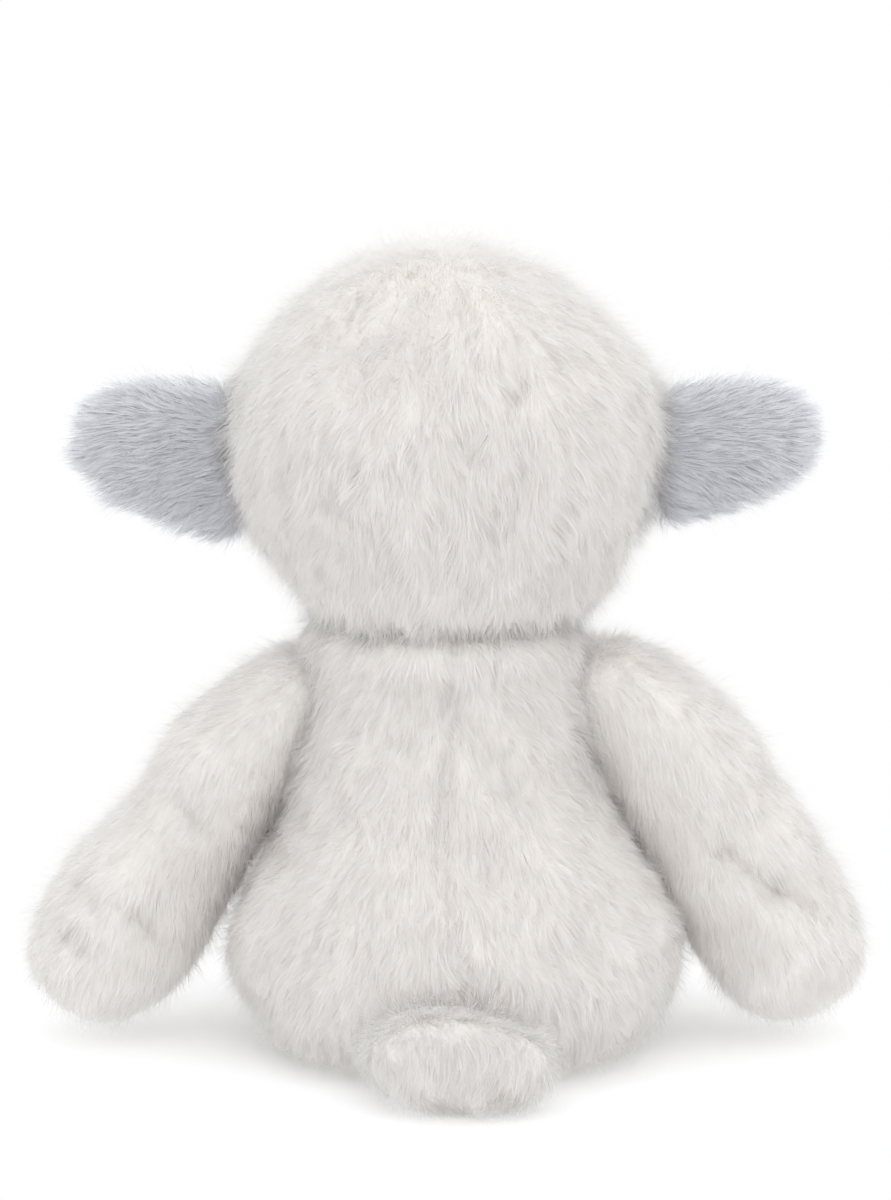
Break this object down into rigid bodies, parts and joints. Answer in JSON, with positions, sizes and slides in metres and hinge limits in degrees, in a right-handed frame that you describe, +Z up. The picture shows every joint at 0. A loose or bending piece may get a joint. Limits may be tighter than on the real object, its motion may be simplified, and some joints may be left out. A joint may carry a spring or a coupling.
{
  "type": "plush sheep",
  "caption": "Seated plush sheep: round woolly head, flat ears, grey face, pear-shaped body, long floppy arms, short legs and a broad tail.",
  "frame": {"origin": "on the floor under the middle of the toy: half its depth, half its width", "axes": "+Z up, -Y the way the face looks, +Y towards the tail, +X towards the sheep's own left arm"},
  "size_m": [0.3038, 0.249, 0.295],
  "materials": {
    "cream_plush": "long soft pile, about 12 mm, combed, cream white",
    "grey_plush": "soft pile, about 8 mm, pale blue-grey",
    "stuffing": "loose white polyester fibre",
    "bag_cotton": "plain woven cotton, undyed",
    "pale_thread": "polyester sewing thread",
    "dark_thread": "satin stitched embroidery thread",
    "eye_black": "polished black",
    "washer_plastic": "moulded, matte"
  },
  "bodies": {
    "torso": {"torso_back_left": "cream_plush", "torso_back_right": "cream_plush", "belly_panel": "cream_plush", "seat_panel": "cream_plush", "torso_stuffing": "stuffing", "seat_bean_bag": "bag_cotton"},
    "neck": {"neck_stuffing": "stuffing", "neck_seam_thread": "pale_thread"},
    "head": {"head_cover_left": "cream_plush", "head_cover_right": "cream_plush", "face_panel": "grey_plush", "head_stuffing": "stuffing", "nose_stitching": "dark_thread", "mouth_stitching": "dark_thread", "eye_left": "eye_black", "eye_right": "eye_black", "eye_washer_left": "washer_plastic", "eye_washer_right": "washer_plastic"},
    "ear_left": {"ear_left_back": "grey_plush", "ear_left_lining": "grey_plush"},
    "ear_right": {"ear_right_back": "grey_plush", "ear_right_lining": "grey_plush"},
    "shoulder_left": {"shoulder_left_stuffing": "stuffing"},
    "arm_left": {"arm_left_cover": "cream_plush", "arm_left_stuffing": "stuffing"},
    "shoulder_right": {"shoulder_right_stuffing": "stuffing"},
    "arm_right": {"arm_right_cover": "cream_plush", "arm_right_stuffing": "stuffing"},
    "leg_left": {"leg_left_cover": "cream_plush", "leg_left_stuffing": "stuffing"},
    "leg_right": {"leg_right_cover": "cream_plush", "leg_right_stuffing": "stuffing"},
    "tail": {"tail_cover": "cream_plush", "tail_stuffing": "stuffing"}
  },
  "joints": [
    {"name": "neck_nod", "type": "hinge", "parent": "torso", "child": "neck", "pos_m": [0, 0.0239, 0.136], "axis": [1, 0, 0], "range_deg": [-15, 15], "stiffness_Nm_per_rad": 0.6},
    {"name": "head_turn", "type": "hinge", "parent": "neck", "child": "head", "pos_m": [0, 0.0239, 0.136], "axis": [0, 0, 1], "range_deg": [-35, 35], "stiffness_Nm_per_rad": 0.2},
    {"name": "ear_left_fold", "type": "hinge", "parent": "head", "child": "ear_left", "pos_m": [0.0838, 0.0199, 0.2205], "axis": [0.1219, 0, -0.9925], "range_deg": [-35, 35], "stiffness_Nm_per_rad": 0.02},
    {"name": "ear_right_fold", "type": "hinge", "parent": "head", "child": "ear_right", "pos_m": [-0.0838, 0.0199, 0.2205], "axis": [0.1219, 0, 0.9925], "range_deg": [-35, 35], "stiffness_Nm_per_rad": 0.02},
    {"name": "arm_left_swing", "type": "hinge", "parent": "torso", "child": "shoulder_left", "pos_m": [0.059, 0.0139, 0.135], "axis": [-1, 0, 0], "range_deg": [-35, 85]},
    {"name": "arm_left_lift", "type": "hinge", "parent": "shoulder_left", "child": "arm_left", "pos_m": [0.059, 0.0139, 0.135], "axis": [0, -1, 0], "range_deg": [0, 50]},
    {"name": "arm_right_swing", "type": "hinge", "parent": "torso", "child": "shoulder_right", "pos_m": [-0.059, 0.0139, 0.135], "axis": [-1, 0, 0], "range_deg": [-35, 85]},
    {"name": "arm_right_lift", "type": "hinge", "parent": "shoulder_right", "child": "arm_right", "pos_m": [-0.059, 0.0139, 0.135], "axis": [0, 1, 0], "range_deg": [0, 50]},
    {"name": "leg_left_raise", "type": "hinge", "parent": "torso", "child": "leg_left", "pos_m": [0.037, -0.0441, 0.027], "axis": [-1, 0, 0], "range_deg": [0, 30]},
    {"name": "leg_right_raise", "type": "hinge", "parent": "torso", "child": "leg_right", "pos_m": [-0.037, -0.0441, 0.027], "axis": [-1, 0, 0], "range_deg": [0, 30]},
    {"name": "tail_lift", "type": "hinge", "parent": "torso", "child": "tail", "pos_m": [0, 0.0979, 0.02172], "axis": [1, 0, 0], "range_deg": [0, 30]}
  ]
}
